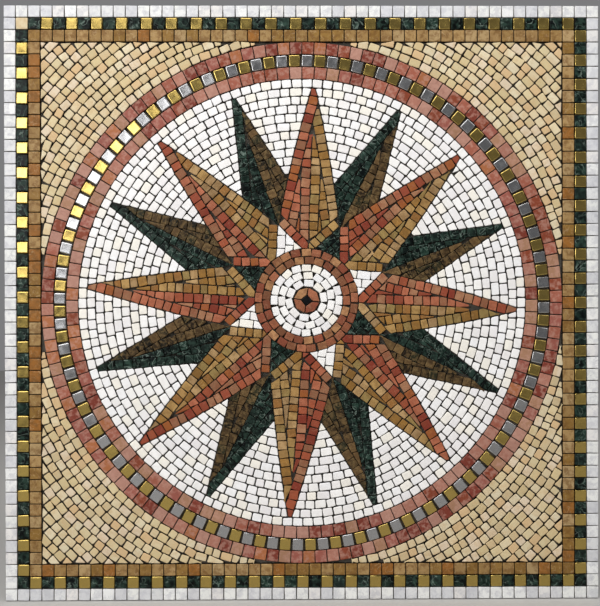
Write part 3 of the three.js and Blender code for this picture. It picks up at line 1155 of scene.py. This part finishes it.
def cut_stone(name, palette, blotch, blotch_share, vein, vein_share, shade, roughness, veil_mm=9,
              vein_mm=14, side=JOINT_SHADE_COLOUR):
    """A chip of marble.

    palette holds the block's colours, one to a chip. blotch clouds up to blotch_share of the way over them,
    and vein runs through in threads, up to vein_share strong. shade is how much lighter or darker one chip
    may be than the next. veil_mm and vein_mm are how far apart clouds and threads lie. side is a painted
    shade: the colour given to the walls below the worn edge, so that the open joints between chips read dark.
    """
    material = new_material(name)
    numbers = add_node(material, "Attribute", {"attribute_name": "chip"})
    split = add_node(material, "SeparateColor", links={"Color": numbers})
    block = add_node(material, "ValToRGB", links={"Fac": split.outputs["Red"]})
    set_stops(block, [(i / len(palette), colour) for i, colour in enumerate(palette)], "CONSTANT")
    place = add_node(material, "TexCoord").outputs["Object"]
    apart = add_node(material, "VectorMath", {"operation": "SCALE", "Scale": BLOCK_SPAN}, {0: numbers})
    own_place = add_node(material, "VectorMath", {"operation": "ADD"}, {0: place, 1: apart})

    veil = add_node(material, "TexNoise", {"Scale": 1 / (veil_mm * MM), "Detail": 4.0, "Roughness": 0.6},
                    {"Vector": own_place})
    veil_mask = add_node(material, "MapRange", {"From Min": CLOUD_FROM, "From Max": CLOUD_TO,
                                                "To Max": blotch_share}, {"Value": veil})
    clouded = add_node(material, "Mix", {"data_type": "RGBA", 7: linear(blotch)}, {0: veil_mask, 6: block})
    thread = add_node(material, "TexNoise",
                      {"Scale": 1 / (vein_mm * MM), "Detail": 2.0, "Roughness": 0.5, "Distortion": 0.8},
                      {"Vector": own_place})
    folded = add_node(material, "Math", {"operation": "PINGPONG", 1: 0.5}, {0: thread})
    thread_mask = add_node(material, "MapRange", {"From Min": VEIN_FROM, "From Max": VEIN_TO,
                                                  "To Max": vein_share}, {"Value": folded})
    veined = add_node(material, "Mix", {"data_type": "RGBA", 7: linear(vein)},
                      {0: thread_mask, 6: clouded.outputs[2]})
    value = add_node(material, "MapRange", {"To Min": 1 - shade, "To Max": 1 + shade},
                     {"Value": split.outputs["Green"]})
    body = add_node(material, "HueSaturation", links={"Color": veined.outputs[2], "Value": value})

    # Painted shade: below the worn edge the walls blend to a dark colour, so the joints between chips read
    # dark.
    depth = add_node(material, "SeparateXYZ", links={"Vector": place})
    shade_from, shade_to = (ARRIS_DEPTH - CHIP_TOP) * MM, (2 * ARRIS_DEPTH - CHIP_TOP) * MM
    wall_shade_mask = add_node(material, "MapRange", {"From Min": shade_from, "From Max": shade_to},
                     {"Value": depth.outputs["Y"]})
    wall_shaded = add_node(material, "Mix", {"data_type": "RGBA", 7: linear(side)}, {0: wall_shade_mask, 6: body})
    grain = add_node(material, "TexNoise", {"Scale": 1 / (STONE_GRAIN * MM), "Detail": 3.0},
                     {"Vector": own_place})
    relief = add_node(material, "Bump", {"Strength": 0.25, "Distance": 0.08 * MM}, {"Height": grain})
    polish = add_node(material, "MapRange", {"From Min": 0.3, "From Max": 0.7, "To Min": roughness - 0.06,
                                             "To Max": roughness + 0.1}, {"Value": veil})
    surface = add_node(material, "BsdfPrincipled", {"Specular IOR Level": STONE_GLOSS},
                       {"Base Color": wall_shaded.outputs[2], "Roughness": polish, "Normal": relief})
    add_node(material, "OutputMaterial", links={"Surface": surface})
    return material


# %% Marbles
finishes = {
    # White marble, sawn and polished by machine. Grey clouds show on a face this smooth, and it is a shade
    # colder than the split field. Its walls get a paler painted shade than the other stones, so its joints
    # read as thin grey lines.
    "sawn_white": cut_stone(
        "polished_white_marble", ["#e9e9e6", "#e0e0e0", "#efefed", "#d6d6d8", "#e7e4e1", "#ecece8"],
        "#bdbdc3", 0.5, "#9c9ea6", 0.35, shade=0.04, roughness=0.3, side="#7d7972"),
    # White marble, split by hand and left matt. It is almost blank, so the field reads as one white
    # that only its joints break up.
    "white_marble": cut_stone(
        "split_white_marble", ["#f7f5f2", "#f3f0ee", "#f9f7f5", "#efecec", "#f6f1e6", "#f6f5f5"],
        "#e6e2dd", 0.35, "#d9d6d6", 0.15, shade=0.03, roughness=0.5),
    # Cream marble, tumbled. Worn faces take light softly, and the blocks run from butter to biscuit.
    "cream_marble": cut_stone(
        "tumbled_cream_marble",
        ["#d5c49c", "#dbcba8", "#cebb90", "#dccfb0", "#cbb892", "#d8c6a2", "#dccab0", "#d2b48a"],
        "#cdaf82", 0.45, "#b98a5c", 0.2, shade=0.06, roughness=0.5),
    # Tan marble, sawn and polished. Polish wets the brown clouds and pale veins, so no chip is plain.
    "tan_marble": cut_stone(
        "polished_tan_marble",
        ["#97784a", "#8e6d3a", "#a58658", "#9b7c50", "#886734", "#94622e", "#ab9066"],
        "#6f4d28", 0.65, "#c8ad86", 0.45, shade=0.06, roughness=0.35, veil_mm=7, vein_mm=9),
    # Rose marble, sawn and polished. Pale blotches over several reds make each chip its own pink.
    "rose_marble": cut_stone(
        "polished_rose_marble",
        ["#9c5c4a", "#84432f", "#a87362", "#ac8070", "#96584c", "#7a3a2e", "#a66844", "#a27a60"],
        "#bb9080", 0.55, "#693428", 0.25, shade=0.08, roughness=0.35, veil_mm=6),
    # Red marble, honed. It is browner and duller than the rings, and more mixed.
    "hub_rose": cut_stone(
        "honed_red_marble", ["#92593f", "#7f4834", "#a3664a", "#7a5038", "#996a48", "#ad8058", "#8c4c38"],
        "#704430", 0.5, "#bb9474", 0.25, shade=0.14, roughness=0.45, veil_mm=7),
    # Golden marble, honed. An ochre ground with brown clouds, and a sheen rather than a shine.
    "gold_marble": cut_stone(
        "honed_golden_marble",
        ["#a27f4e", "#98703a", "#8c6632", "#aa8854", "#9c7f5a", "#b29266", "#906436", "#8e7849"],
        "#765730", 0.5, "#c2a06e", 0.3, shade=0.12, roughness=0.45),
    # Terracotta marble, honed. It goes from brick to tan, which makes the lit side of a ray warm.
    "terracotta_marble": cut_stone(
        "honed_terracotta_marble",
        ["#9c5238", "#904834", "#a5644a", "#80382a", "#a37658", "#96582f", "#b06a4e", "#8c6248"],
        "#84452f", 0.45, "#c08c70", 0.2, shade=0.1, roughness=0.45),
    # Green marble, polished. It is nearly black from afar, and pale green breaks show from close by.
    "green_marble": cut_stone(
        "polished_green_marble", ["#09120f", "#050a08", "#11201a", "#080d0d", "#0d1513", "#18221e"],
        "#33493f", 0.6, "#84958a", 0.6, shade=0.25, roughness=0.3, veil_mm=6),
    # Dark brown marble, polished. It is broken up finely, in ochre patches over near black.
    "brown_marble": cut_stone(
        "polished_dark_brown_marble",
        ["#33281a", "#40311f", "#241c14", "#4c3b26", "#1c1913", "#5a452c", "#2a291c"],
        "#7c6440", 0.5, "#a08a5e", 0.35, shade=0.15, roughness=0.35, veil_mm=5),
    # Black marble, polished. The one chip at the very centre is plain and dark.
    "black_marble": cut_stone(
        "polished_black_marble", ["#0e0e10"], "#1a1a1c", 0.3, "#2a2a2c", 0.1, shade=0.05, roughness=0.3),
}

print(len(finishes), "stone finishes")

# %% Brushed metals
# A brush leaves lines that are too fine to show here, so they are drawn BRUSH_PITCH apart.
BRUSH_PITCH = 0.5
BRUSH_STRETCH = 0.06
SMEAR_SIZE = 8


def brushed_metal(name, colour, roughness):
    """A pressed metal cap with a fine brushed grain."""
    material = new_material(name)
    numbers = add_node(material, "Attribute", {"attribute_name": "chip"})
    place = add_node(material, "TexCoord").outputs["Object"]
    own_place = add_node(material, "VectorMath", {"operation": "ADD"}, {0: place, 1: numbers})
    brushed = add_node(material, "Mapping", {"Scale": (1, 1, BRUSH_STRETCH)}, {"Vector": own_place})
    scratch = add_node(material, "TexNoise", {"Scale": 1 / (BRUSH_PITCH * MM), "Detail": 2.0},
                       {"Vector": brushed})
    smear = add_node(material, "TexNoise", {"Scale": 1 / (SMEAR_SIZE * MM), "Detail": 3.0},
                     {"Vector": own_place})
    gloss = add_node(material, "MapRange", {"From Min": 0.3, "From Max": 0.7, "To Min": roughness - 0.06,
                                            "To Max": roughness + 0.08}, {"Value": smear})
    relief = add_node(material, "Bump", {"Strength": 0.02, "Distance": 0.03 * MM}, {"Height": scratch})
    surface = add_node(material, "BsdfPrincipled", {"Base Color": linear(colour), "Metallic": 1.0},
                       {"Roughness": gloss, "Normal": relief})
    add_node(material, "OutputMaterial", links={"Surface": surface})
    return material


# Brass, brushed. It is a yellow mirror gone soft, dark until a light falls the right way and then all bright.
finishes["brass"] = brushed_metal("brushed_brass", "#b9a05a", 0.2)
# Stainless steel, satin brushed. It takes the grey of what stands round it, and flashes white.
finishes["stainless_steel"] = brushed_metal("satin_stainless_steel", "#acacad", 0.22)

# %% Adhesive and net
PATCH_SIZE = 25


def rough_coat(name, colour, patch, grain_mm):
    """A matt coat, patchy in colour and grainy to the touch."""
    material = new_material(name)
    place = add_node(material, "TexCoord").outputs["Object"]
    patches = add_node(material, "TexNoise", {"Scale": 1 / (PATCH_SIZE * MM), "Detail": 5.0},
                       {"Vector": place})
    tint = add_node(material, "ValToRGB", links={"Fac": patches})
    set_stops(tint, [(0.35, colour), (0.65, patch)])
    grit = add_node(material, "TexNoise", {"Scale": 1 / (grain_mm * MM), "Detail": 3.0}, {"Vector": place})
    relief = add_node(material, "Bump", {"Strength": 0.6, "Distance": 0.2 * MM}, {"Height": grit})
    surface = add_node(material, "BsdfPrincipled", {"Roughness": 0.9}, {"Base Color": tint, "Normal": relief})
    add_node(material, "OutputMaterial", links={"Surface": surface})
    return material


# Cement adhesive, spread with a trowel. It dries matt and gritty, in patches of warmer and colder grey.
finishes["adhesive_bed"] = rough_coat("cement_adhesive", "#615b52", "#756f65", 2)
# Glass-fibre threads, dipped in binder. The binder hides the glass's shine, and leaves a dull off-white.
finishes["net"] = rough_coat("glass_fibre_threads", "#c9c9c2", "#b6b4aa", 1)

# %% Give each piece its finish
for finish, pieces in pieces_by_finish.items():
    for piece in pieces:
        piece.data.materials.clear()
        piece.data.materials.append(finishes[finish])
    print(finish, "on", len(pieces), "pieces")

# %% [markdown]
# ## Floor, light and camera
#
# The panel stands on its edge on a plain pale floor. The broad softbox overhead lights the stone. The one on
# the left stands where its reflection falls on the upper left metal chips and makes them flash. The one on
# the right fills the far side, and the even pale surroundings fill the joints.

# %% Floor
# Painted board, rolled matt. It is pale and gives back no reflection, so only soft shadows show on it.
FLOOR_SIZE = 8
floor_height = cad_box[0].z - MM
bpy.ops.mesh.primitive_plane_add(size=FLOOR_SIZE, location=(0, 0, floor_height))
floor = bpy.context.object
floor.name = "floor"
floor_paint = new_material("matt_pale_floor")
floor_surface = add_node(floor_paint, "BsdfPrincipled", {"Base Color": linear("#bdbbb7"), "Roughness": 0.8})
add_node(floor_paint, "OutputMaterial", links={"Surface": floor_surface})
floor.data.materials.append(floor_paint)
print("floor at", round(floor_height, 4))

# %% Light
surroundings = bpy.data.worlds.new("pale_studio")
surroundings.use_nodes = True
background = surroundings.node_tree.nodes["Background"]
background.inputs["Color"].default_value = linear("#e8e8ea")
background.inputs["Strength"].default_value = 0.25
bpy.context.scene.world = surroundings


def hang_softbox(name, place, width, height, watts):
    """A rectangular soft light that faces the middle of the panel."""
    bpy.ops.object.light_add(type="AREA", location=place)
    softbox = bpy.context.object
    softbox.name = name
    softbox.data.shape = "RECTANGLE"
    softbox.data.size = width
    softbox.data.size_y = height
    softbox.data.energy = watts
    softbox.rotation_euler = (-place).to_track_quat("-Z", "Y").to_euler()
    print(name, watts, "W")


hang_softbox("softbox_left", Vector((-1.25, -2.0, 0.57)), 1.5, 0.7, 18)
hang_softbox("softbox_right", Vector((2.0, -1.2, 1.9)), 1.6, 1.6, 20)
hang_softbox("softbox_overhead", Vector((-0.45, -1.15, 1.85)), 2.0, 1.2, 38)

# %% Camera
# Its place is in metres and its turn in degrees: level, almost square on, and 1.25 m in front of the chips.
CAMERA_PLACE = Vector((-0.0156, -1.26, 0.0068))
CAMERA_TURN = (89.69, 0.12, -0.57)
LENS = 56.88
bpy.ops.object.camera_add(location=CAMERA_PLACE, rotation=[math.radians(angle) for angle in CAMERA_TURN])
camera = bpy.context.object
camera.name = "camera"
camera.data.sensor_fit = "HORIZONTAL"
camera.data.sensor_width = 36
camera.data.lens = LENS
print("camera at", CAMERA_PLACE[:])
bpy.context.scene.camera = camera
bpy.context.scene.view_settings.view_transform = "Standard"
